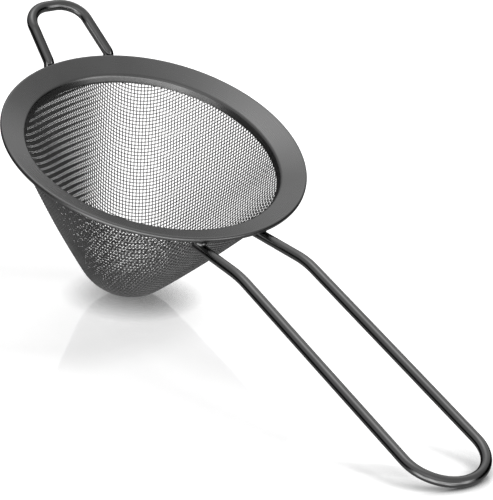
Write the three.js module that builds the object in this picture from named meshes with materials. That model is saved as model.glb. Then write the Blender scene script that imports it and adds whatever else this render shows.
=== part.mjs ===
// Conical tea strainer: stamped double rim, woven mesh cone, long wire handle,
// short wire rest. Millimetres, +Z up.
// The bowl is drawn about its own axis first (rim edge at z = 0, handle to +X),
// then the whole strainer is leaned forward so that it rests on the round end
// of the cone and on the end of the handle.
import * as THREE from 'three';

// ---- driving dimensions (mm) ----
const RIM_R = 42.5;              // outer radius of the flange
const SHEET = 0.5;               // flange sheet
const CURL = 1.5;                // height of the turned-down outer edge
const COLLAR_R = 35.7;           // inside radius of the flange's collar
const COLLAR_Z = -5.3;           // lower edge of that collar
const FLANGE_IN_Z = -1.95;       // height of the flange where it turns into the collar
const FLANGE_IN_R = 36.4;
const GAP = 0.3;                 // clearance between neighbouring pieces
const BACK_SHEET = 0.45;         // backing ring sheet
const BACK_COLLAR_Z = -4.2;      // lower edge of the backing ring's collar
const MESH_T = 0.5;              // woven mesh, two wires thick
const MESH_R = 36.75;            // mid-surface radius inside the collars
const MESH_TOP = -3.0;
const MESH_BEND_Z = -5.5;        // where the straight edge turns into the cone
const CONE_A0 = 0.541;           // half angle of the cone at the rim (rad)
const CONE_A1 = 0.615;           // and just above the round end
const TIP_R = 15.8;              // radius of the round end
const WIRE_R = 1.4;              // handle and rest wire
// handle: half width, x and z along one leg
const H_END = [39.2, 9.62];
const H_EDGE_Z = -2.95;          // wire centre height at x = RIM_R
const H_BEND = [57.4, 10.7, 0.93];
const H_BEND_FILLET = 9;
const H_LOOP = [130.0, 11.35, 1.15];
// rest: the short loop on the other side
const K_END_R = 40.54;              // the wire ends stop at this radius, under the flange
const K_SIDES = [[1, 11.8], [-1, -8.0]];    // side and y of each leg at the rim: the rest leans a little
const K_KNEE = [-43.1, -2.95];      // x, z where a leg turns up just outside the rim's edge
const K_FOOT = [-43.7, -0.93];      // and where it leans out
const K_SPRING = [-52.6, 8.85, 4.84];   // where the round end starts
const K_REACH = 6.8;                // how far the round end goes beyond that
const K_CORNER = 8.0;
const NUGGET = [0.75, 1.3, 0.7];    // weld nugget half sizes
const SEG = 72;

// ---- finish ----
const gunmetal = (name) => new THREE.MeshStandardMaterial({ name, color: 0x4b4c4f, metalness: 1, roughness: 0.28 });

// ---- helpers ----
// closed section of a sheet of thickness t laid to the right of a path of [r, z]
function sheetSection(path, t) {
  const off = path.map((p, i) => {
    const a = path[Math.max(i - 1, 0)], b = path[Math.min(i + 1, path.length - 1)];
    const dx = b[0] - a[0], dz = b[1] - a[1], l = Math.hypot(dx, dz);
    return [p[0] + (dz / l) * t, p[1] - (dx / l) * t];
  });
  const loop = [...path, ...off.reverse()];
  loop.push(loop[0]);
  return loop.map(([r, z]) => new THREE.Vector2(r, z));
}

function lathe(pts, seg) {
  const g = new THREE.LatheGeometry(pts, seg);
  g.rotateX(Math.PI / 2);        // lathe axis Y -> Z
  return g;
}

function signedArea(pts) {
  let a = 0;
  for (let i = 0; i < pts.length - 1; i++) a += pts[i].x * pts[i + 1].y - pts[i + 1].x * pts[i].y;
  return a / 2;
}

// a lathe profile wound so that its faces look outwards
function ring(pts, seg) {
  return lathe(signedArea(pts) < 0 ? pts.slice().reverse() : pts, seg);
}

function arc2(c, r, a0, a1, n) {
  const out = [];
  for (let i = 0; i <= n; i++) {
    const a = a0 + ((a1 - a0) * i) / n;
    out.push([c[0] + r * Math.cos(a), c[1] + r * Math.sin(a)]);
  }
  return out;
}

// round wire along a list of points, capped at both ends
function wire(points, radius, steps, sides) {
  const shape = new THREE.Shape();
  for (let i = 0; i < sides; i++) {
    const a = (2 * Math.PI * i) / sides;
    if (i === 0) shape.moveTo(radius, 0);
    else shape.lineTo(radius * Math.cos(a), radius * Math.sin(a));
  }
  shape.closePath();
  const path = new THREE.CatmullRomCurve3(points, false, 'centripetal');
  path.arcLengthDivisions = 1200;
  return new THREE.ExtrudeGeometry(shape, { steps, bevelEnabled: false, extrudePath: path });
}

// replace the corner b of a-b-c by an arc of radius r
function fillet(a, b, c, r, n) {
  const u = a.clone().sub(b).normalize(), v = c.clone().sub(b).normalize();
  const half = Math.acos(THREE.MathUtils.clamp(u.dot(v), -1, 1)) / 2;
  const d = r / Math.tan(half);
  const bis = u.clone().add(v).normalize();
  const o = b.clone().addScaledVector(bis, r / Math.sin(half));
  const p0 = b.clone().addScaledVector(u, d), p1 = b.clone().addScaledVector(v, d);
  const e0 = p0.clone().sub(o).normalize(), e1 = p1.clone().sub(o).normalize();
  const ang = Math.acos(THREE.MathUtils.clamp(e0.dot(e1), -1, 1));
  const out = [];
  for (let i = 0; i <= n; i++) {
    const t = i / n;
    const w0 = Math.sin((1 - t) * ang) / Math.sin(ang), w1 = Math.sin(t * ang) / Math.sin(ang);
    out.push(o.clone().addScaledVector(e0, r * w0).addScaledVector(e1, r * w1));
  }
  return out;
}

function line(a, b, n) {
  const out = [];
  for (let i = 0; i <= n; i++) out.push(a.clone().lerp(b, i / n));
  return out;
}

// join point lists, dropping repeats
function chain(...lists) {
  const out = [];
  for (const p of lists.flat()) if (!out.length || out[out.length - 1].distanceTo(p) > 0.2) out.push(p);
  return out;
}

// ---- rim flange ----
// outer skin from the lower lip of the curl, over the edge, down the slope, into the collar
const flangePath = [
  [RIM_R - 0.75, -CURL], [RIM_R - 0.2, -CURL + 0.15], [RIM_R, -CURL + 0.6], [RIM_R, -0.5],
  [RIM_R - 0.25, -0.1], [RIM_R - 0.7, 0],
  [FLANGE_IN_R, FLANGE_IN_Z], [FLANGE_IN_R - 0.42, FLANGE_IN_Z - 0.28],
  [COLLAR_R + 0.06, FLANGE_IN_Z - 0.75], [COLLAR_R, FLANGE_IN_Z - 1.3],
  [COLLAR_R, COLLAR_Z],
];
// the path runs inwards and down, so the sheet lies on its left: mirror the offset
const flange = ring(sheetSection(flangePath, -SHEET), SEG);

// ---- backing ring ----
const slope = (0 - FLANGE_IN_Z) / (RIM_R - 0.7 - FLANGE_IN_R);
const under = (r) => (r - (RIM_R - 0.7)) * slope - SHEET / Math.cos(Math.atan(slope)) - GAP;
const BACK_R = RIM_R - 1.2;
const BACK_IN = MESH_R + MESH_T / 2 + GAP + 0.1;
const backPath = [
  [BACK_R, under(BACK_R)], [BACK_IN + 0.9, under(BACK_IN + 0.9)],
  [BACK_IN + 0.25, under(BACK_IN + 0.9) - 0.42], [BACK_IN, under(BACK_IN + 0.9) - 1.0],
  [BACK_IN, BACK_COLLAR_Z],
];
const backing = ring(sheetSection(backPath, -BACK_SHEET), SEG);

// ---- mesh cone ----
// mid-surface: straight edge, cone whose half angle opens from A0 to A1, round end
function meshSurface(off) {
  const need = MESH_R - TIP_R * Math.cos(CONE_A1);
  const k = (Math.cos(CONE_A0) - Math.cos(CONE_A1)) / need;
  const pts = [[MESH_R + off, MESH_TOP], [MESH_R + off, MESH_BEND_Z + 0.4]];
  const n = 5;
  let z = 0;
  for (let i = 0; i <= n; i++) {
    const a = CONE_A0 + ((CONE_A1 - CONE_A0) * i) / n;
    const r = MESH_R - (Math.cos(CONE_A0) - Math.cos(a)) / k;
    z = MESH_BEND_Z - (Math.sin(a) - Math.sin(CONE_A0)) / k;
    pts.push([r + off * Math.cos(a), z - off * Math.sin(a)]);
  }
  const zs = z + TIP_R * Math.sin(CONE_A1);
  for (const p of arc2([0, zs], TIP_R + off, -CONE_A1, -Math.PI / 2, 6).slice(1)) pts.push(p);
  pts[pts.length - 1][0] = 0;
  return { pts, zs };
}
const outer = meshSurface(MESH_T / 2), inner = meshSurface(-MESH_T / 2);
const meshLoop = [...outer.pts.slice().reverse(), ...inner.pts].map(([r, z]) => new THREE.Vector2(r, z));
const meshCone = lathe(signedArea([...meshLoop, meshLoop[0]]) < 0 ? meshLoop.slice().reverse() : meshLoop, 60);
const TIP_CENTRE_Z = outer.zs;

// ---- handle ----
const V = (x, y, z) => new THREE.Vector3(x, y, z);
const hSlope = (H_BEND[2] - H_EDGE_Z) / (H_BEND[0] - RIM_R);
const hEnd = V(H_END[0], H_END[1], H_EDGE_Z + (H_END[0] - RIM_R) * hSlope);
const hBend = V(...H_BEND), hLoop = V(...H_LOOP);
const hDir = V(H_LOOP[0] - H_BEND[0], 0, H_LOOP[2] - H_BEND[2]).normalize();
const hCorner = fillet(hEnd, hBend, hLoop, H_BEND_FILLET * 3, 6);
const loopArc = [];
for (let i = 1; i <= 11; i++) {
  const a = (Math.PI / 2) * (i / 12);
  loopArc.push(V(H_LOOP[0], 0, H_LOOP[2]).addScaledVector(hDir, H_LOOP[1] * Math.sin(a)).add(V(0, H_LOOP[1] * Math.cos(a), 0)));
}
const hTip = V(H_LOOP[0], 0, H_LOOP[2]).addScaledVector(hDir, H_LOOP[1]);
const hHalf = chain(line(hEnd, hCorner[0], 5), hCorner, line(hCorner[6], hLoop, 16), loopArc);
const mirrorY = (p) => V(p.x, -p.y, p.z);
const handle = wire([...hHalf, hTip, ...hHalf.slice().reverse().map(mirrorY)], WIRE_R, 84, 12);

// ---- rest ----
const atRadius = (r, y) => -Math.sqrt(r * r - y * y);
function restHalf([side, y]) {
  const end = V(atRadius(K_END_R, y), y, -3.83), knee = V(K_KNEE[0], y, K_KNEE[1]);
  const foot = V(K_FOOT[0], y, K_FOOT[1]), spring = V(K_SPRING[0], side * K_SPRING[1], K_SPRING[2]);
  const low = fillet(end, knee, foot, 1.9, 4), high = fillet(knee, foot, spring, 2.0, 3);
  const arc = [];
  for (let i = 0; i <= 8; i++) {
    const a = (Math.PI / 2) * (i / 8), out = K_REACH * Math.sin(a), turn = 1 - Math.cos(a);
    arc.push(spring.clone().add(V(-out, -side * K_CORNER * turn, 0.345 * out - 0.54 * turn)));
  }
  return chain(line(end, low[0], 2), low, high, line(high[3], spring, 4), arc);
}
const kAll = [...restHalf(K_SIDES[0]), ...restHalf(K_SIDES[1]).reverse()];
const rest = wire(kAll, WIRE_R, 72, 12);

// ---- weld nuggets, inboard of each wire end, under the backing ring ----
function nugget(x, y, z) {
  const g = new THREE.SphereGeometry(1, 12, 8);
  g.scale(...NUGGET);
  g.translate(x, y, z);
  return g;
}
const nz = hEnd.z + 0.62;
const nx = H_END[0] - NUGGET[0] - GAP - 0.02;

// ---- lean the strainer on to its resting points and centre it over the floor ----
const e = [hTip.x, hTip.z], c = [0, TIP_CENTRE_Z];
const tipR = TIP_R + MESH_T / 2;
const dist = Math.hypot(e[0] - c[0], e[1] - c[1]);
const lean = Math.atan2(e[1] - c[1], e[0] - c[0]) + Math.asin((tipR - WIRE_R) / dist);
const pose = new THREE.Matrix4().makeRotationY(lean);

const parts = [
  ['rim_flange', flange], ['backing_ring', backing], ['mesh_cone', meshCone],
  ['handle_wire', handle], ['rest_wire', rest],
  ['handle_weld_left', nugget(nx, H_END[1], nz)], ['handle_weld_right', nugget(nx, -H_END[1], nz)],
  ['rest_weld_left', nugget(atRadius(K_END_R - 1.05, K_SIDES[0][1]), K_SIDES[0][1], nz)],
  ['rest_weld_right', nugget(atRadius(K_END_R - 1.05, K_SIDES[1][1]), K_SIDES[1][1], nz)],
];
const box = new THREE.Box3();
for (const [, g] of parts) {
  g.applyMatrix4(pose);
  g.computeBoundingBox();
  box.union(g.boundingBox);
}
const shift = V(-(box.min.x + box.max.x) / 2, 0, -box.min.z);

const group = new THREE.Group();
for (const [name, g] of parts) {
  g.translate(shift.x, shift.y, shift.z);
  const m = new THREE.Mesh(g, gunmetal(name));
  m.name = name;
  group.add(m);
}
export default group;
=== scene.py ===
"""Tea strainer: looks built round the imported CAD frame. Metres; lengths in the tables are millimetres."""

import math

import bpy
import numpy as np
from mathutils import Matrix, Vector, noise


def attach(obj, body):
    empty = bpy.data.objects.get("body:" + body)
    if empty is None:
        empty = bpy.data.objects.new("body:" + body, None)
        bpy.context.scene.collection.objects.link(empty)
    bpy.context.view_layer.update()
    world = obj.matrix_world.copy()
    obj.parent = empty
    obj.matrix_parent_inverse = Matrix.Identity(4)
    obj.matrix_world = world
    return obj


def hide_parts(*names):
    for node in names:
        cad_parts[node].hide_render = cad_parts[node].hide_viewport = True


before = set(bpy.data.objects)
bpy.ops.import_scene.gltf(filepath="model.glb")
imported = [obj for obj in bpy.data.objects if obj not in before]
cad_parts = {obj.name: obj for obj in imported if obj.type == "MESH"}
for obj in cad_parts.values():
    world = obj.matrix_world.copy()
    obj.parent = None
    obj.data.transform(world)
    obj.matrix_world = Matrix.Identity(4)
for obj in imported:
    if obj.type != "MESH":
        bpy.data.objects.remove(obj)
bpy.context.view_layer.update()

MM = 0.001

# ---------------------------------------------------------------- where things are
# Pieces are drawn about the bowl's own axis (rim edge at z = 0, handle to +X) and
# leaned on to the floor as one, so their object coordinates follow the bowl.
LEAN = math.radians(19.3543)
SHIFT = Vector((-39.96, 0, 47.13)) * MM
POSE = Matrix.Translation(SHIFT) @ Matrix.Rotation(LEAN, 4, "Y")

RIM_R, SHEET = 42.5, 0.5        # the flange's outer radius and its sheet
CURL_IN, CURL_Z = 0.9, -1.5     # its turned-down outer edge: how far back in it goes, and how low
LIP_R, LIP_Z = 35.5, -2.27      # where the flange turns down into its collar
COLLAR_R, COLLAR_Z = 34.85, -4.3   # the collar's lower edge, leaning in a little
CURL_BEND, EDGE_BEND, LIP_BEND = 0.55, 0.62, 1.3   # bend radii from the outer edge inwards
FLAT_OUT, FLAT_IN, FLAT_IN_Z = RIM_R - 0.7, 36.4, -1.95   # the flange's flat slope; its outer end is at z = 0
SLOPE = -FLAT_IN_Z / (FLAT_OUT - FLAT_IN)
BACK_SHEET, BACK_COLLAR_Z = 0.45, -4.2   # the ring under the flange
BACK_GAP, BACK_BEND = 0.18, 0.8

MESH_R, MESH_TOP, MESH_BEND_Z = 36.75, -3.0, -5.5   # the woven bowl's edge, clamped between the collars
CONE_A0, CONE_A1, TIP_R = 0.541, 0.615, 15.8        # half angle at the rim and at the round end, tip radius
PITCH = 0.96            # woven wire spacing
STRAND_R = 0.138        # woven wire radius
WARP_AT, WEFT_AT = math.radians(161), math.radians(50)   # where the middle wires run up the cone

WIRE_R, REST_R = 1.4, 1.5       # handle wire and rest wire
LEG_EDGE_Z = -2.95              # height of a wire's centre as it passes under the rim's edge
HANDLE_END = (37.1, 9.58)       # x, y of the handle wire's cut end
HANDLE_BEND, HANDLE_BEND_R = (57.4, 10.7, 0.93), 27.0
HANDLE_LOOP = (130.0, 11.35, 1.15)   # where the round end starts
REST_FEET = (11.8, -8.0)        # y of the rest's two legs at the rim: it leans a little to one side
REST_END_R, REST_END_Z = 38.5, -4.1
REST_SPRING = (-52.6, 8.85, 4.84)    # where the rest's round end starts
REST_CORNER, REST_REACH = 8.0, 6.8   # its round end: share of the half width, and how far out it goes
REST_RISE, REST_DIP = 0.345, 0.54    # how it climbs on the way out and dips towards its middle
WIRE_SIDES = 28
LONGEST = 0.8                   # longest step along a wire

CAP_STEPS, CAP_ROUND = (0.42, 0.3, 0.15), 0.45   # rings that round off a cut wire end, in wire radii
WELD_SIZE = np.array((1.5, 1.75, 0.95))          # half sizes of a weld bead
HANDLE_WELD, REST_WELD_R = (38.7, 9.62), 40.0
STRAND_SIDES = 6


def warp(points, top=-5.5, bottom=-26.0):
    """The thin rim isn't perfectly flat: lift by angle round it, fading to nothing down the bowl."""
    p = np.array(points, float)
    a = np.arctan2(p[..., 1], p[..., 0])
    lift = 0.40 + 0.16 * np.cos(a) - 0.48 * np.sin(a) + 0.13 * np.cos(2 * a) - 0.37 * np.sin(2 * a)
    p[..., 2] += lift * np.clip((p[..., 2] - bottom) / (top - bottom), 0, 1)
    return p


# ---------------------------------------------------------------- mesh helpers
def new_object(name, verts, faces, material, uvs=None, smooth=True):
    """verts in millimetres about the bowl's axis; faces as lists of quads and ngons."""
    me = bpy.data.meshes.new(name)
    me.from_pydata([tuple(v) for v in (np.asarray(verts, float) * MM).tolist()], [], faces)
    me.transform(POSE)
    if uvs is not None:
        layer = me.uv_layers.new(name="along")
        index = np.empty(len(me.loops), np.int32)
        me.loops.foreach_get("vertex_index", index)
        layer.data.foreach_set("uv", np.asarray(uvs, np.float32)[index].ravel())
    me.materials.append(material)
    me.validate()
    ob = bpy.data.objects.new(name, me)
    bpy.context.scene.collection.objects.link(ob)
    for p in me.polygons:
        p.use_smooth = smooth
    me.update()
    return ob


def round_path(points, radii, step=0.12):
    """A polyline of (r, z) with each inner corner replaced by an arc, sampled finely."""
    pts = [np.array(p, float) for p in points]
    out = [pts[0]]
    for k in range(1, len(pts) - 1):
        a, b, c = pts[k - 1], pts[k], pts[k + 1]
        u, v = a - b, c - b
        lu, lv = np.linalg.norm(u), np.linalg.norm(v)
        u, v = u / lu, v / lv
        half = math.acos(max(-1, min(1, float(u @ v)))) / 2
        radius = radii[k - 1]
        if radius <= 0 or half > math.pi / 2 - 1e-3:
            out.append(b)
            continue
        d = min(radius / math.tan(half), 0.49 * lu, 0.49 * lv)
        radius = d * math.tan(half)
        centre = b + (u + v) / np.linalg.norm(u + v) * radius / math.sin(half)
        e0, e1 = b + u * d - centre, b + v * d - centre
        sweep = math.pi - 2 * half
        n = max(3, int(sweep * radius / step) + 1)
        for i in range(n + 1):
            t = i / n
            w0, w1 = math.sin((1 - t) * sweep), math.sin(t * sweep)
            out.append(centre + (e0 * w0 + e1 * w1) / math.sin(sweep))
    out.append(pts[-1])
    return out


def revolve(name, loop, segments, material):
    """Closed ring from a closed loop of (r, z)."""
    loop = [np.array(p, float) for p in loop]
    n = len(loop)
    area = sum(loop[i][0] * loop[(i + 1) % n][1] - loop[(i + 1) % n][0] * loop[i][1] for i in range(n))
    if area < 0:
        loop.reverse()
    ang = np.linspace(0, 2 * math.pi, segments, endpoint=False)
    verts = [(r * math.cos(a), r * math.sin(a), z) for a in ang for r, z in loop]
    faces = []
    for i in range(segments):
        j = (i + 1) % segments
        for k in range(n):
            m = (k + 1) % n
            faces.append((i * n + k, j * n + k, j * n + m, i * n + m))
    return new_object(name, warp(verts), faces, material)


def sheet_loop(corners, radii, t, step=0.08):
    """Closed section of a sheet t thick laid on the left of a cornered path, with half-round edges."""
    c = [np.array(p, float) for p in corners]
    lines = []
    for a, b in zip(c, c[1:]):
        d = (b - a) / np.linalg.norm(b - a)
        lines.append((a + t * np.array((-d[1], d[0])), d))
    inner = [lines[0][0]]
    for (p, d), (q, e) in zip(lines, lines[1:]):
        k = np.linalg.solve(np.array((d, -e)).T, q - p)[0]
        inner.append(p + k * d)
    inner.append(lines[-1][0] + lines[-1][1] * np.linalg.norm(c[-1] - c[-2]))
    top = evenly(round_path(c, radii, step), 0.5)
    low = evenly(round_path(inner, [max(r - t, 0.05) for r in radii], step), 0.5)
    out = list(top)
    for p, q, f in ((top[-1], low[-1], lines[-1][1]), (low[0], top[0], -lines[0][1])):
        for i in range(1, 7):
            a = math.pi * i / 7
            out.append((p + q) / 2 + (p - q) / 2 * math.cos(a) + f * t * 0.4 * math.sin(a))
        if q is low[-1]:
            out.extend(low[::-1])
    return out


def evenly(points, longest):
    """The same line with no gap longer than the given length."""
    out = [points[0]]
    for p in points[1:]:
        a, n = out[-1], int(np.linalg.norm(p - out[-1]) / longest)
        out.extend(a + (p - a) * i / (n + 1) for i in range(1, n + 1))
        out.append(p)
    return out


def tube(name, path, radius, sides, material, seed):
    """Round drawn wire along a path, with slightly rounded cut ends and a faint unevenness."""
    P = np.array(path, float)
    s = np.concatenate([[0], np.cumsum(np.linalg.norm(np.diff(P, axis=0), axis=1))])
    T = np.gradient(P, axis=0)
    T /= np.linalg.norm(T, axis=1, keepdims=True)
    up = np.array([0, 0, 1.0])
    verts, uvs = [], []

    def cap(i, sign, steps):
        return [(P[i] + sign * T[i] * e * radius, T[i], radius * math.sqrt(1 - (e / CAP_ROUND) ** 2),
                 s[i] + sign * e * radius) for e in steps]

    rows = [(P[i], T[i], radius, s[i]) for i in range(len(P))]
    rows = cap(0, -1, CAP_STEPS) + rows + cap(-1, 1, CAP_STEPS[::-1])
    for c, t, r, along in rows:
        b = np.cross(t, up)
        b /= np.linalg.norm(b)
        n = np.cross(b, t)
        for k in range(sides):
            a = 2 * math.pi * k / sides
            w = 1 + 0.004 * noise.noise((along * 0.12, math.cos(a) + seed, math.sin(a)))
            verts.append(c + (n * math.cos(a) + b * math.sin(a)) * r * w)
            uvs.append((k / sides * 2 * math.pi * radius, along))
    faces = []
    rings = len(rows)
    for i in range(rings - 1):
        for k in range(sides):
            m = (k + 1) % sides
            faces.append((i * sides + k, i * sides + m, (i + 1) * sides + m, (i + 1) * sides + k))
    faces.append(tuple(range(sides))[::-1])
    faces.append(tuple(range((rings - 1) * sides, rings * sides)))
    return new_object(name, verts, faces, material, uvs)


# ---------------------------------------------------------------- materials
def material(name):
    m = bpy.data.materials.new(name)
    m.use_nodes = True
    nt = m.node_tree
    bsdf = nt.nodes["Principled BSDF"]
    return m, nt, bsdf


def metal(name):
    m, nt, bsdf = material(name)
    bsdf.inputs["Metallic"].default_value = 1.0
    return m, nt, bsdf


def add(nt, kind, **values):
    n = nt.nodes.new(kind)
    for k, v in values.items():
        if hasattr(n, k):
            setattr(n, k, v)
        else:
            n.inputs[k].default_value = v
    return n


def math_node(nt, op, a, b=None):
    n = nt.nodes.new("ShaderNodeMath")
    n.operation = op
    for i, v in enumerate((a, b)):
        if v is None:
            continue
        if isinstance(v, (int, float)):
            n.inputs[i].default_value = v
        else:
            nt.links.new(v, n.inputs[i])
    return n.outputs[0]


def ramp(nt, source, stops):
    n = nt.nodes.new("ShaderNodeValToRGB")
    e = n.color_ramp.elements
    while len(e) > 1:
        e.remove(e[-1])
    for i, (at, col) in enumerate(stops):
        el = e[0] if i == 0 else e.new(at)
        el.position = at
        el.color = (*col, 1)
    nt.links.new(source, n.inputs["Fac"])
    return n.outputs["Color"]


def map_range(nt, source, a, b, c, d):
    n = nt.nodes.new("ShaderNodeMapRange")
    nt.links.new(source, n.inputs["Value"])
    for k, v in zip(("From Min", "From Max", "To Min", "To Max"), (a, b, c, d)):
        n.inputs[k].default_value = v
    return n.outputs["Result"]


def noise_tex(nt, vector, scale, detail=3.0, roughness=0.5):
    n = add(nt, "ShaderNodeTexNoise", Scale=scale, Detail=detail, Roughness=roughness)
    nt.links.new(vector, n.inputs["Vector"])
    return n.outputs["Fac"]


def bump_chain(nt, bsdf, layers):
    """layers: (height, strength, distance in metres)"""
    last = None
    for h, strength, distance in layers:
        b = add(nt, "ShaderNodeBump", Strength=strength, Distance=distance)
        nt.links.new(h, b.inputs["Height"])
        if last is not None:
            nt.links.new(last, b.inputs["Normal"])
        last = b.outputs["Normal"]
    nt.links.new(last, bsdf.inputs["Normal"])


def bowl_coordinates(nt):
    """Object coordinates turned back so that z is the bowl's own axis."""
    co = nt.nodes.new("ShaderNodeTexCoord").outputs["Object"]
    mp = nt.nodes.new("ShaderNodeMapping")
    mp.vector_type = "TEXTURE"
    mp.inputs["Location"].default_value = SHIFT
    mp.inputs["Rotation"].default_value = (0, LEAN, 0)
    nt.links.new(co, mp.inputs["Vector"])
    return mp.outputs[0]


def grey(v, warm=0.0):
    return (v * (1 + warm), v, v * (1 - warm))


def rim_material():
    """Spun and satin-polished gunmetal: fine rings round the axis and faint clouding."""
    m, nt, bsdf = metal("gunmetal_spun")
    co = bowl_coordinates(nt)
    sep = nt.nodes.new("ShaderNodeSeparateXYZ")
    nt.links.new(co, sep.inputs[0])
    x, y, z = sep.outputs
    xx, yy = math_node(nt, "MULTIPLY", x, x), math_node(nt, "MULTIPLY", y, y)
    r = math_node(nt, "SQRT", math_node(nt, "ADD", xx, yy))
    a = math_node(nt, "ARCTAN2", y, x)
    com = nt.nodes.new("ShaderNodeCombineXYZ")
    nt.links.new(math_node(nt, "MULTIPLY", r, 9000.0), com.inputs[0])
    nt.links.new(math_node(nt, "MULTIPLY", a, 1.6), com.inputs[1])
    nt.links.new(math_node(nt, "MULTIPLY", z, 6000.0), com.inputs[2])
    rings = noise_tex(nt, com.outputs[0], 1.0, 4.0, 0.6)
    cloud = noise_tex(nt, co, 55.0, 4.0, 0.55)
    fine = noise_tex(nt, co, 2600.0, 2.0, 0.5)
    base = ramp(nt, cloud, [(0.25, RIM_DARK), (0.75, RIM_LIGHT)])
    nt.links.new(base, bsdf.inputs["Base Color"])
    rough = math_node(nt, "ADD", map_range(nt, rings, 0.3, 0.7, 0.25, 0.28),
                      map_range(nt, cloud, 0.3, 0.7, -0.02, 0.03))
    nt.links.new(rough, bsdf.inputs["Roughness"])
    bump_chain(nt, bsdf, [(rings, 0.04, 0.00001), (fine, 0.03, 0.00001)])
    return m


def wire_material():
    """Drawn wire: faint draw lines along its length, polished, with tiny handling marks."""
    m, nt, bsdf = metal("gunmetal_wire")
    uv = add(nt, "ShaderNodeUVMap", uv_map="along").outputs["UV"]
    mp = nt.nodes.new("ShaderNodeMapping")
    mp.inputs["Scale"].default_value = (7.0, 0.10, 1.0)
    nt.links.new(uv, mp.inputs["Vector"])
    lines = noise_tex(nt, mp.outputs[0], 1.0, 4.0, 0.6)
    co = nt.nodes.new("ShaderNodeTexCoord").outputs["Object"]
    cloud = noise_tex(nt, co, 120.0, 3.0, 0.5)
    nicks = noise_tex(nt, co, 1400.0, 3.0, 0.7)
    base = ramp(nt, cloud, [(0.25, WIRE_DARK), (0.75, WIRE_LIGHT)])
    nt.links.new(base, bsdf.inputs["Base Color"])
    rough = math_node(nt, "ADD", map_range(nt, lines, 0.3, 0.7, 0.15, 0.21),
                      map_range(nt, nicks, 0.6, 0.8, 0.0, 0.08))
    nt.links.new(rough, bsdf.inputs["Roughness"])
    bump_chain(nt, bsdf, [(lines, 0.12, 0.00002), (cloud, 0.05, 0.00006)])
    return m


def strand_material(name, seed):
    """Woven wire: darker in patches, with fine tarnish; the seed sets the warp apart from the weft."""
    m, nt, bsdf = metal(name)
    co = nt.nodes.new("ShaderNodeTexCoord").outputs["Object"]
    mp = nt.nodes.new("ShaderNodeMapping")
    mp.inputs["Location"].default_value = (seed, seed * 0.7, seed * 1.3)
    nt.links.new(co, mp.inputs["Vector"])
    patch = noise_tex(nt, mp.outputs[0], 90.0, 3.0, 0.6)
    fine = noise_tex(nt, mp.outputs[0], 1500.0, 2.0, 0.5)
    mix = math_node(nt, "ADD", math_node(nt, "MULTIPLY", patch, 0.6), math_node(nt, "MULTIPLY", fine, 0.4))
    base = ramp(nt, mix, [(0.35, MESH_DARK), (0.65, MESH_LIGHT)])
    nt.links.new(base, bsdf.inputs["Base Color"])
    nt.links.new(map_range(nt, fine, 0.3, 0.7, 0.15, 0.24), bsdf.inputs["Roughness"])
    bump_chain(nt, bsdf, [(fine, 0.15, 0.00001)])
    return m


RIM_DARK, RIM_LIGHT = grey(0.25), grey(0.29)
WIRE_DARK, WIRE_LIGHT = grey(0.24), grey(0.28)
MESH_DARK, MESH_LIGHT = grey(0.17), grey(0.26)
RIM_MAT, WIRE_MAT = rim_material(), wire_material()
WARP_MAT, WEFT_MAT = strand_material("gunmetal_warp", 3.0), strand_material("gunmetal_weft", 11.0)


def piece(ob, slot, *nodes):
    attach(ob, "root")
    if nodes:
        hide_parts(*nodes)
    return ob


# ---------------------------------------------------------------- rim
def build_rim():
    # skin of the flange: under the curl, over the edge, down the slope, into the collar
    corners = [(RIM_R - CURL_IN, CURL_Z), (RIM_R, CURL_Z + 0.12), (RIM_R, 0.12), (LIP_R + 0.03, LIP_Z),
               (COLLAR_R, COLLAR_Z)]
    loop = sheet_loop(corners, [CURL_BEND, EDGE_BEND, LIP_BEND], SHEET)
    piece(revolve("flange", loop, 320, RIM_MAT), "rim", "rim_flange")


def build_backing():
    def under(r):
        return (r - FLAT_OUT) * SLOPE - SHEET / math.cos(math.atan(SLOPE)) - BACK_GAP

    r_out, r_in = RIM_R - 1.15, MESH_R + 0.45
    corners = [(r_out, under(r_out)), (r_in + 0.1, under(r_in + 0.1)), (r_in - 0.12, BACK_COLLAR_Z)]
    loop = sheet_loop(corners, [BACK_BEND], BACK_SHEET)
    piece(revolve("under_ring", loop, 288, RIM_MAT), "rim", "backing_ring")


# ---------------------------------------------------------------- wires
def mirror(points):
    return [np.array((p[0], -p[1], p[2])) for p in points]


def build_handle():
    bend, loop = np.array(HANDLE_BEND), np.array(HANDLE_LOOP)
    slope = (bend[2] - LEG_EDGE_Z) / (bend[0] - RIM_R)
    end = np.array((*HANDLE_END, LEG_EDGE_Z - slope * (RIM_R - HANDLE_END[0])))
    ahead = np.array((loop[0] - bend[0], 0, loop[2] - bend[2]))
    ahead /= np.linalg.norm(ahead)
    mid, side = np.array((loop[0], 0, loop[2])), np.array((0, loop[1], 0))
    turn = [mid + ahead * loop[1] * math.sin(a) + side * math.cos(a) for a in np.linspace(0, math.pi / 2, 26)]
    half = round_path([end, bend, loop], [HANDLE_BEND_R], 0.7) + turn[1:-1]
    path = evenly(half + mirror(half)[::-1], LONGEST)
    piece(tube("handle", path, WIRE_R, WIRE_SIDES, WIRE_MAT, 1.0), "wire", "handle_wire")


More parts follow.
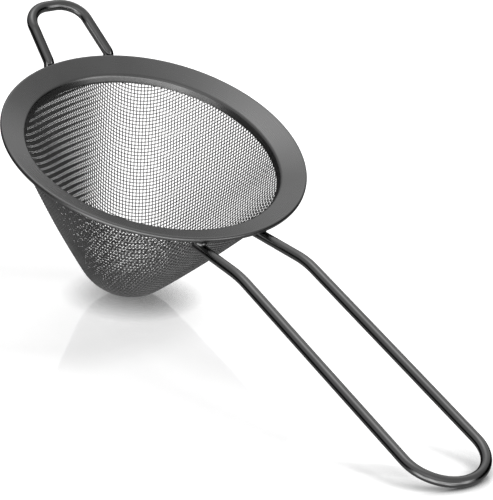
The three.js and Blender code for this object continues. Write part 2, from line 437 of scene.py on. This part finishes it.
def build_rest():
    def half(side, foot_y):
        """side is +1 or -1; the leg ends at foot_y just outside the rim and turns in under it."""
        spring = np.array(REST_SPRING) * (1, side, 1)
        foot, knee = (-43.7, foot_y, -0.93), (-43.1, foot_y, LEG_EDGE_Z)
        end = (-math.sqrt(REST_END_R ** 2 - foot_y ** 2), foot_y, REST_END_Z)
        arc = []
        for a in np.linspace(0, math.pi / 2, 22):
            out, turn = REST_REACH * math.sin(a), 1 - math.cos(a)
            arc.append(spring + np.array((-out, -side * REST_CORNER * turn, REST_RISE * out - REST_DIP * turn)))
        return round_path([end, knee, foot, spring], [1.9, 2.0], 0.3)[:-1] + arc

    path = evenly(half(1, REST_FEET[0]) + half(-1, REST_FEET[1])[::-1], LONGEST)
    piece(tube("rest", path, REST_R, WIRE_SIDES, WIRE_MAT, 5.0), "wire", "rest_wire")


def build_weld(name, node, x, y, seed):
    """A fused bead where a wire end is welded to the rim: a lumpy drop, flat against the ring above."""
    rows, cols = 18, 28
    verts, faces = [], []
    top = -2.62 + (abs(x) - 38.6) * SLOPE
    for i in range(rows + 1):
        t = math.pi * i / rows
        for k in range(cols if 0 < i < rows else 1):
            a = 2 * math.pi * k / cols
            d = np.array((math.sin(t) * math.cos(a), math.sin(t) * math.sin(a), math.cos(t)))
            coarse = noise.noise(Vector(d * 1.7) + Vector((seed, 0, 0)))
            fine = noise.noise(Vector(d * 5.0) + Vector((seed, 3, 0)))
            p = np.array((x, y, top - 0.55)) + d * WELD_SIZE * (1 + 0.10 * coarse + 0.03 * fine)
            p[2] = min(p[2], top + (abs(p[0]) - abs(x)) * SLOPE)
            verts.append(p)
    verts = warp(verts)
    ring = [0] + [1 + i * cols for i in range(rows - 1)]     # first vertex of each row
    for k in range(cols):
        m = (k + 1) % cols
        faces.append((0, 1 + k, 1 + m))
        for i in range(1, rows - 1):
            faces.append((ring[i] + k, ring[i + 1] + k, ring[i + 1] + m, ring[i] + m))
        faces.append((len(verts) - 1, ring[rows - 1] + m, ring[rows - 1] + k))
    uvs = [(v[0], v[1]) for v in verts]
    piece(new_object(name, verts, faces, WIRE_MAT, uvs), "wire", node)


# ---------------------------------------------------------------- woven bowl
def bowl_profile():
    """Middle surface of the weave from the tip outwards: arc length, radius, height."""
    k = (math.cos(CONE_A0) - math.cos(CONE_A1)) / (MESH_R - TIP_R * math.cos(CONE_A1))
    a = np.linspace(CONE_A0, CONE_A1, 160)
    r = MESH_R - (math.cos(CONE_A0) - np.cos(a)) / k
    z = MESH_BEND_Z - (np.sin(a) - math.sin(CONE_A0)) / k
    centre = z[-1] + TIP_R * math.sin(CONE_A1)
    b = np.linspace(-CONE_A1, -math.pi / 2, 80)[1:]
    r = np.concatenate([[MESH_R] * 5, r, TIP_R * np.cos(b)])[::-1]
    z = np.concatenate([np.linspace(60, MESH_BEND_Z + 0.6, 5), z, centre + TIP_R * np.sin(b)])[::-1]
    r[0] = 0
    s = np.concatenate([[0], np.cumsum(np.hypot(np.diff(r), np.diff(z)))])
    g = np.arange(0, s[-1], 0.05)
    r, z = np.interp(g, s, r), np.interp(g, s, z)
    for _ in range(40):                      # the bend under the rim is a small radius
        r[1:-1] = (r[:-2] + 2 * r[1:-1] + r[2:]) / 4
        z[1:-1] = (z[:-2] + 2 * z[1:-1] + z[2:]) / 4
    return g, r, z, np.gradient(r, g), np.gradient(z, g)


ARC, PROF_R, PROF_Z, PROF_DR, PROF_DZ = bowl_profile()
S_TOP = float(np.interp(MESH_TOP, PROF_Z, ARC))


def on_bowl(s, phi):
    r = np.interp(s, ARC, PROF_R)
    return np.stack([r * np.cos(phi), r * np.sin(phi), np.interp(s, ARC, PROF_Z)], -1)


def nearest_s(x, s, rounds=2):
    """Arc length of the profile's nearest point to x, refined from a first guess."""
    r = np.hypot(x[..., 0], x[..., 1])
    for _ in range(rounds):
        dr, dz = np.interp(s, ARC, PROF_DR), np.interp(s, ARC, PROF_DZ)
        along = (r - np.interp(s, ARC, PROF_R)) * dr + (x[..., 2] - np.interp(s, ARC, PROF_Z)) * dz
        s = np.maximum(s + along, 0)
    return s


def press_quadrant(n, f1, f2):
    """Where the crossings of a square weave go when it is pressed on to the bowl.
    Strands keep their length and only the angle between them changes: each crossing is one
    pitch from its two inner neighbours, starting from two middle strands that run up the cone."""
    x = np.zeros((n + 1, n + 1, 3))
    s = np.zeros((n + 1, n + 1))
    i = np.arange(n + 1)
    x[:, 0], s[:, 0] = on_bowl(i * PITCH, f1 + 0 * i), i * PITCH
    x[0, :], s[0, :] = on_bowl(i * PITCH, f2 + 0 * i), i * PITCH
    for d in range(2, 2 * n + 1):
        I = np.arange(max(1, d - n), min(n, d - 1) + 1)
        J = d - I
        a, b = x[I - 1, J], x[I, J - 1]
        y = a + b - x[I - 1, J - 1]
        t = np.maximum(s[I - 1, J], s[I, J - 1])
        for _ in range(7):
            t = nearest_s(y, t)
            r = np.maximum(np.hypot(y[:, 0], y[:, 1]), 1e-6)
            dr, dz = np.interp(t, ARC, PROF_DR), np.interp(t, ARC, PROF_DZ)
            normal = np.stack([-dz * y[:, 0] / r, -dz * y[:, 1] / r, dr], -1)
            off = -(r - np.interp(t, ARC, PROF_R)) * dz + (y[:, 2] - np.interp(t, ARC, PROF_Z)) * dr
            rows = np.stack([2 * (y - a), 2 * (y - b), normal], 1)
            error = np.stack([((y - a) ** 2).sum(-1) - PITCH ** 2,
                              ((y - b) ** 2).sum(-1) - PITCH ** 2, off], -1)
            step = np.linalg.solve(rows + 1e-9 * np.eye(3), error[..., None])[..., 0]
            size = np.linalg.norm(step, axis=1, keepdims=True)
            y = y - step * np.minimum(1, 0.5 * PITCH / np.maximum(size, 1e-9))
        x[I, J], s[I, J] = y, nearest_s(y, t)
    return x


def press_weave():
    n = int((S_TOP + 3) / PITCH)
    x = np.zeros((2 * n + 1, 2 * n + 1, 3))
    for si, warp_at in ((1, WARP_AT), (-1, WARP_AT + math.pi)):
        for sj, weft_at in ((1, WEFT_AT), (-1, WEFT_AT + math.pi)):
            rows, cols = n + si * np.arange(n + 1), n + sj * np.arange(n + 1)
            x[np.ix_(rows, cols)] = press_quadrant(n, warp_at, weft_at)
    return x, nearest_s(x, np.interp(x[..., 2], PROF_Z, ARC), 6)


def strand_runs(x, s, offset_sign, along_first):
    """The parts of each strand that lie inside the rim: list of (points, height signs, s)."""
    runs = []
    count = x.shape[0]
    for k in range(count):
        line = x[:, k] if along_first else x[k, :]
        ls = s[:, k] if along_first else s[k, :]
        inside = np.flatnonzero(ls < S_TOP)
        if len(inside) < 3:
            continue
        lo, hi = inside[0], inside[-1]
        if hi + 1 >= count or lo - 1 < 0:
            continue
        idx = np.arange(lo - 1, hi + 2)
        runs.append((line[idx], offset_sign * (1 - 2 * ((idx + k) % 2)), ls[idx]))
    return runs


def strand_mesh(name, runs, mat):
    """One object holding many strands, each a closed six-sided wire going over and under."""
    sides = STRAND_SIDES
    all_v, all_f, base = [], [], 0
    ang = 2 * np.pi * np.arange(sides) / sides
    for pts, sign, ls in runs:
        m = len(pts)
        # crossings and the midpoints between them
        ext = np.vstack([2 * pts[0] - pts[1], pts, 2 * pts[-1] - pts[-2]])
        mid = (-ext[:-3] + 9 * ext[1:-2] + 9 * ext[2:-1] - ext[3:]) / 16
        p = np.empty((2 * m - 1, 3))
        p[0::2], p[1::2] = pts, mid
        h = np.zeros(2 * m - 1)
        h[0::2] = sign
        ss = np.empty(2 * m - 1)
        ss[0::2], ss[1::2] = ls, (ls[:-1] + ls[1:]) / 2
        ss = nearest_s(p, ss)
        # cut at the top edge
        keep = np.flatnonzero(ss < S_TOP)
        a, b = keep[0], keep[-1]

        def cut(i, j):
            w = (S_TOP - ss[i]) / (ss[j] - ss[i])
            return p[i] + (p[j] - p[i]) * w, h[i] + (h[j] - h[i]) * w

        (pa, ha), (pb, hb) = cut(a, a - 1), cut(b, b + 1)
        p = np.vstack([pa, p[a:b + 1], pb])
        h = np.concatenate([[ha], h[a:b + 1], [hb]])
        ss = np.concatenate([[S_TOP], ss[a:b + 1], [S_TOP]])
        r = np.maximum(np.hypot(p[:, 0], p[:, 1]), 1e-6)
        dr, dz = np.interp(ss, ARC, PROF_DR), np.interp(ss, ARC, PROF_DZ)
        nrm = np.stack([dz * p[:, 0] / r, dz * p[:, 1] / r, -dr], 1)
        c = p + nrm * (h * STRAND_R)[:, None]
        t = np.gradient(c, axis=0)
        t /= np.linalg.norm(t, axis=1, keepdims=True)
        side = np.cross(t, nrm)
        side /= np.linalg.norm(side, axis=1, keepdims=True)
        up = np.cross(side, t)
        cos, sin = np.cos(ang)[None, :, None], np.sin(ang)[None, :, None]
        ring = c[:, None] + STRAND_R * (cos * up[:, None] + sin * side[:, None])
        n = len(c)
        all_v.append(ring.reshape(-1, 3))
        i = np.arange(n - 1)[:, None] * sides
        q = np.arange(sides)[None, :]
        q2 = (q + 1) % sides
        quads = np.stack([i + q, i + q2, i + sides + q2, i + sides + q], -1).reshape(-1, 4) + base
        all_f.append((quads, base, base + (n - 1) * sides))
        base += n * sides
    verts = warp(np.vstack(all_v)) * MM
    quads = np.vstack([f[0] for f in all_f])
    caps = []
    for _, first, last in all_f:
        caps.append(list(range(first, first + sides))[::-1])
        caps.append(list(range(last, last + sides)))
    loops = np.concatenate([quads.ravel(), np.array(caps).ravel()]).astype(np.int32)
    sizes = np.concatenate([np.full(len(quads), 4), np.full(len(caps), sides)])
    starts = np.concatenate([[0], np.cumsum(sizes)[:-1]]).astype(np.int32)
    me = bpy.data.meshes.new(name)
    me.vertices.add(len(verts))
    me.vertices.foreach_set("co", verts.astype(np.float32).ravel())
    me.loops.add(len(loops))
    me.loops.foreach_set("vertex_index", loops)
    me.polygons.add(len(sizes))
    me.polygons.foreach_set("loop_start", starts)
    me.update(calc_edges=True)
    me.validate()
    me.polygons.foreach_set("use_smooth", np.ones(len(me.polygons), bool))
    me.materials.append(mat)
    me.update()
    me.transform(POSE)
    ob = bpy.data.objects.new(name, me)
    bpy.context.scene.collection.objects.link(ob)
    return ob


def build_weave():
    x, s = press_weave()
    warp_runs, weft_runs = strand_runs(x, s, 1, True), strand_runs(x, s, -1, False)
    total = 0
    for name, runs, mat in (("mesh_warp", warp_runs, WARP_MAT), ("mesh_weft", weft_runs, WEFT_MAT)):
        half = len(runs) // 2
        for tag, part in (("a", runs[:half]), ("b", runs[half:])):
            ob = strand_mesh(f"{name}_{tag}", part, mat)
            total += len(ob.data.polygons)
            piece(ob, "mesh", "mesh_cone")
    print("weave: strands", len(warp_runs), len(weft_runs), "faces", total)


# ---------------------------------------------------------------- stage, lights, camera
# az (from +X towards +Y), elevation, spread (degrees), level
SOFT_LIGHTS = [
    (175, 74, 19, 0.85),
    (140, 38, 20, 0.28),
    (-40, 35, 24, 0.25),
    (116, 22, 16, 0.28),
    (78, 12, 20, -0.25),
    (28, 8, 11, 1.6),
    (24, -8, 12, 1.6),
    (0, -6, 12, 1.5),
    (-24, -6, 12, 1.6),
    (-48, -6, 12, 1.7),
    (-74, -4, 12, 1.3),
    (-78, -26, 14, 1.8),
    (-48, -28, 14, 2.0),
    (-14, -34, 12, 1.8),
]
SKY_FROM, SKY_LEVEL = (0.05, 0.45), 0.28
GROUND_FROM, GROUND_LEVEL = (0.12, 0.5), 0.20
FLOOR_GLOW = 0.80
FLOOR_RINGS, FLOOR_SIDES = (0.0, 0.25, 0.6, 1.2, 2.4, 6.0), 96   # metres
KEY_POWER = 9.0
EYE, AIM, ROLL = (0.4902, -0.3663, 0.2616), (0.00428, -0.0012, 0.03112), math.radians(1.93)


def build_floor():
    me = bpy.data.meshes.new("floor")
    n, radii = FLOOR_SIDES, FLOOR_RINGS
    verts, faces = [(0, 0, 0)], []
    for r in radii[1:]:
        verts += [(r * math.cos(2 * math.pi * k / n), r * math.sin(2 * math.pi * k / n), 0) for k in range(n)]
    for k in range(n):
        m = (k + 1) % n
        faces.append((0, 1 + k, 1 + m))
        for q in range(len(radii) - 2):
            faces.append((1 + q * n + k, 1 + (q + 1) * n + k, 1 + (q + 1) * n + m, 1 + q * n + m))
    me.from_pydata(verts, [], faces)
    ob = bpy.data.objects.new("floor", me)
    bpy.context.scene.collection.objects.link(ob)
    m, nt, bsdf = material("floor_white")
    bsdf.inputs["Roughness"].default_value = 0.6
    # painted contact shadow: the floor's colour and its glow are darkened by occlusion close to where things
    # touch it
    near = add(nt, "ShaderNodeAmbientOcclusion", Distance=0.010, samples=8)
    shade = math_node(nt, "POWER", near.outputs["AO"], 1.6)
    painted_contact_shadow = nt.nodes.new("ShaderNodeCombineColor")
    for i in range(3):
        nt.links.new(shade, painted_contact_shadow.inputs[i])
    nt.links.new(painted_contact_shadow.outputs[0], bsdf.inputs["Base Color"])
    nt.links.new(painted_contact_shadow.outputs[0], bsdf.inputs["Emission Color"])
    bsdf.inputs["Emission Strength"].default_value = FLOOR_GLOW
    gloss = add(nt, "ShaderNodeBsdfGlossy", Roughness=0.05)
    gloss.inputs["Color"].default_value = (1, 1, 1, 1)
    mix = nt.nodes.new("ShaderNodeMixShader")
    # the floor is shiniest where the bowl stands and duller further out
    away = add(nt, "ShaderNodeVectorMath", operation="LENGTH")
    nt.links.new(nt.nodes.new("ShaderNodeTexCoord").outputs["Object"], away.inputs[0])
    nt.links.new(map_range(nt, away.outputs["Value"], 0.03, 0.16, 0.34, 0.14), mix.inputs[0])
    nt.links.new(bsdf.outputs[0], mix.inputs[1])
    nt.links.new(gloss.outputs[0], mix.inputs[2])
    nt.links.new(mix.outputs[0], nt.nodes["Material Output"].inputs["Surface"])
    ob.visible_glossy = False
    me.materials.append(m)
    ob.location.z = -0.00005


def smooth_step(nt, value, low, high):
    n = nt.nodes.new("ShaderNodeMapRange")
    n.interpolation_type = "SMOOTHSTEP"
    nt.links.new(value, n.inputs["Value"])
    n.inputs["From Min"].default_value, n.inputs["From Max"].default_value = low, high
    return n.outputs["Result"]


def build_world():
    """Soft studio surround: a dim sky and ground with soft lights; those above the horizon stop at it."""
    world = bpy.data.worlds.new("studio")
    bpy.context.scene.world = world
    world.use_nodes = True
    nt = world.node_tree
    bg = nt.nodes["Background"]
    co = nt.nodes.new("ShaderNodeTexCoord").outputs["Generated"]
    height = nt.nodes.new("ShaderNodeSeparateXYZ")
    nt.links.new(co, height.inputs[0])
    height = height.outputs[2]
    above = math_node(nt, "MULTIPLY", smooth_step(nt, height, *SKY_FROM), SKY_LEVEL)
    glow = None
    for az, el, spread, level in SOFT_LIGHTS:
        a, e = math.radians(az), math.radians(el)
        d = (math.cos(a) * math.cos(e), math.sin(a) * math.cos(e), math.sin(e))
        dot = nt.nodes.new("ShaderNodeVectorMath")
        dot.operation = "DOT_PRODUCT"
        nt.links.new(co, dot.inputs[0])
        dot.inputs[1].default_value = d
        k = 1 / (1 - math.cos(math.radians(spread)))
        v = math_node(nt, "MULTIPLY", math_node(nt, "SUBTRACT", dot.outputs["Value"], 1.0), k)
        v = math_node(nt, "MULTIPLY", math_node(nt, "EXPONENT", v), level)
        if el > 0:
            above = math_node(nt, "ADD", above, v)
        else:
            glow = v if glow is None else math_node(nt, "ADD", glow, v)
    depth = math_node(nt, "MULTIPLY", height, -1.0)
    below = math_node(nt, "MULTIPLY", smooth_step(nt, depth, *GROUND_FROM), GROUND_LEVEL)
    gate = smooth_step(nt, height, -0.02, 0.10)
    above = math_node(nt, "MAXIMUM", above, 0.0)
    total = math_node(nt, "ADD", math_node(nt, "MULTIPLY", above, gate), math_node(nt, "ADD", below, glow))
    com = nt.nodes.new("ShaderNodeCombineColor")
    for i in range(3):
        nt.links.new(total, com.inputs[i])
    nt.links.new(com.outputs[0], bg.inputs["Color"])
    bg.inputs["Strength"].default_value = 1.0


def area_light(name, where, aim, size, power):
    la = bpy.data.lights.new(name, "AREA")
    la.shape = "RECTANGLE"
    la.size, la.size_y = size
    la.energy = power
    ob = bpy.data.objects.new(name, la)
    bpy.context.scene.collection.objects.link(ob)
    ob.location = where
    ob.rotation_mode = "QUATERNION"
    ob.rotation_quaternion = (Vector(aim) - Vector(where)).to_track_quat("-Z", "Y")
    return ob


def build_camera():
    cam = bpy.data.cameras.new("camera")
    cam.lens, cam.sensor_width = 180.0, 36.0
    ob = bpy.data.objects.new("camera", cam)
    bpy.context.scene.collection.objects.link(ob)
    eye = Vector(EYE)
    ahead = (Vector(AIM) - eye).normalized()
    right = ahead.cross(Vector((0, 0, 1))).normalized()
    up = right.cross(ahead)
    right, up = right * math.cos(ROLL) + up * math.sin(ROLL), up * math.cos(ROLL) - right * math.sin(ROLL)
    m = Matrix((right, up, -ahead)).transposed().to_4x4()
    m.translation = eye
    ob.matrix_world = m
    cam.clip_start, cam.clip_end = 0.01, 50
    bpy.context.scene.camera = ob


bpy.context.scene.view_settings.view_transform = "Standard"

build_rim()
build_backing()
build_handle()
build_rest()
for side, y, foot_y in (("left", 1, REST_FEET[0]), ("right", -1, REST_FEET[1])):
    build_weld(f"weld_handle_{side}", f"handle_weld_{side}", HANDLE_WELD[0], HANDLE_WELD[1] * y, 2.0 + y)
    rest_x = -math.sqrt(REST_WELD_R ** 2 - foot_y ** 2)
    build_weld(f"weld_rest_{side}", f"rest_weld_{side}", rest_x, foot_y, 7.0 + y)
build_weave()
build_floor()
build_world()
build_camera()
key = area_light("key", (0.42, 0.67, 0.92), (0.03, 0, 0), (0.5, 0.5), KEY_POWER)
key.visible_glossy = False
